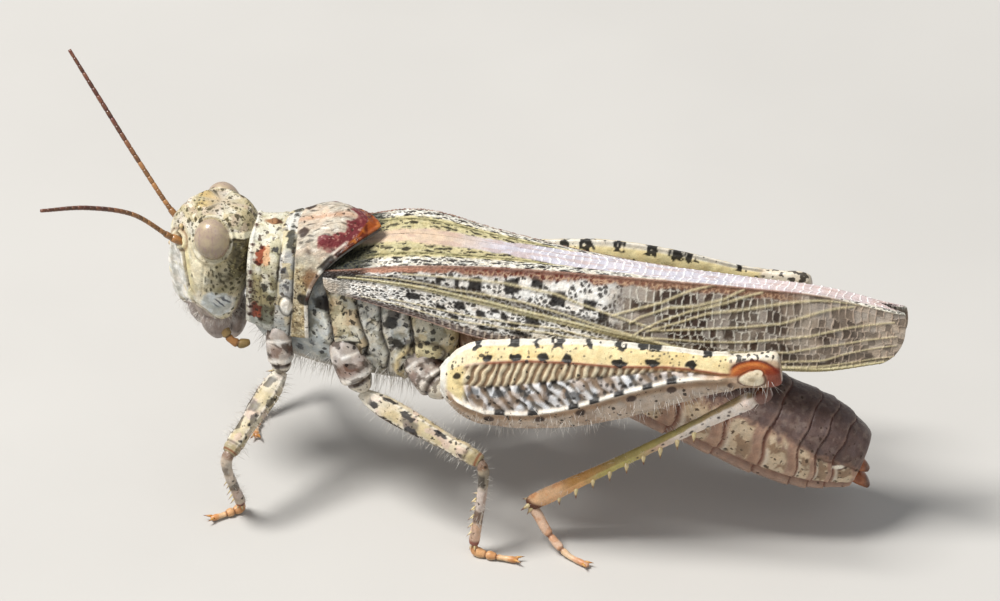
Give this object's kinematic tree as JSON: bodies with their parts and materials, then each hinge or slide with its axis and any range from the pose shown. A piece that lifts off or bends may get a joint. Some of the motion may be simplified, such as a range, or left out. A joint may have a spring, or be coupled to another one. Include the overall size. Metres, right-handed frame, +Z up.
{
  "type": "grasshopper",
  "caption": "Life-size still model of a sand-coloured grasshopper standing high on its legs, feelers raised and speckled wings folded along the back.",
  "frame": {"origin": "middle of the bounding box at ground level, under the thorax", "axes": "+X from head to tail, +Y to the animal's right side, +Z up"},
  "size_m": [0.043, 0.0144, 0.0207],
  "materials": {
    "cuticle_speckled": "satin, cream with dark specks",
    "cuticle_cream": "satin, cream with brown marks",
    "mandible_grey": "satin, bluish white with grey streaks",
    "wing_leather": "satin, parchment-like with pale veins",
    "eye_shell": "glossy",
    "feeler_amber": "satin, amber to dark red-brown",
    "mouth_skin": "satin, translucent grey-brown",
    "abdomen_skin": "satin, pinkish brown",
    "valve_horn": "glossy",
    "shank_ochre": "glossy, ochre to orange"
  },
  "bodies": {
    "root": {"head": "cuticle_speckled", "eye_left": "eye_shell", "eye_right": "eye_shell", "antenna_left": "feeler_amber", "antenna_right": "feeler_amber", "labrum": "mouth_skin", "labium": "mouth_skin", "mandible_left": "mandible_grey", "mandible_right": "mandible_grey", "palp_left": "mouth_skin", "palp_right": "mouth_skin", "pronotum": "cuticle_cream", "prothorax": "cuticle_speckled", "mesothorax": "cuticle_speckled", "metathorax": "cuticle_speckled", "tegmen_left": "wing_leather", "tegmen_right": "wing_leather", "abdomen_1": "abdomen_skin", "abdomen_2": "abdomen_skin", "abdomen_3": "abdomen_skin", "abdomen_4": "abdomen_skin", "abdomen_5": "abdomen_skin", "abdomen_6": "abdomen_skin", "abdomen_7": "abdomen_skin", "abdomen_8": "abdomen_skin", "abdomen_9": "abdomen_skin", "valve_upper": "valve_horn", "valve_lower": "valve_horn", "fore_left_coxa": "cuticle_cream", "fore_left_femur": "cuticle_cream", "fore_left_tibia": "cuticle_cream", "fore_left_tarsus": "shank_ochre", "fore_right_coxa": "cuticle_cream", "fore_right_femur": "cuticle_cream", "fore_right_tibia": "cuticle_cream", "fore_right_tarsus": "shank_ochre", "mid_left_coxa": "cuticle_cream", "mid_left_femur": "cuticle_cream", "mid_left_tibia": "cuticle_cream", "mid_left_tarsus": "shank_ochre", "mid_right_coxa": "cuticle_cream", "mid_right_femur": "cuticle_cream", "mid_right_tibia": "cuticle_cream", "mid_right_tarsus": "shank_ochre", "hind_left_coxa": "cuticle_cream", "hind_left_femur": "cuticle_cream", "hind_left_tibia": "shank_ochre", "hind_left_tarsus": "shank_ochre", "hind_right_coxa": "cuticle_cream", "hind_right_femur": "cuticle_cream", "hind_right_tibia": "shank_ochre", "hind_right_tarsus": "shank_ochre"}
  },
  "joints": []
}
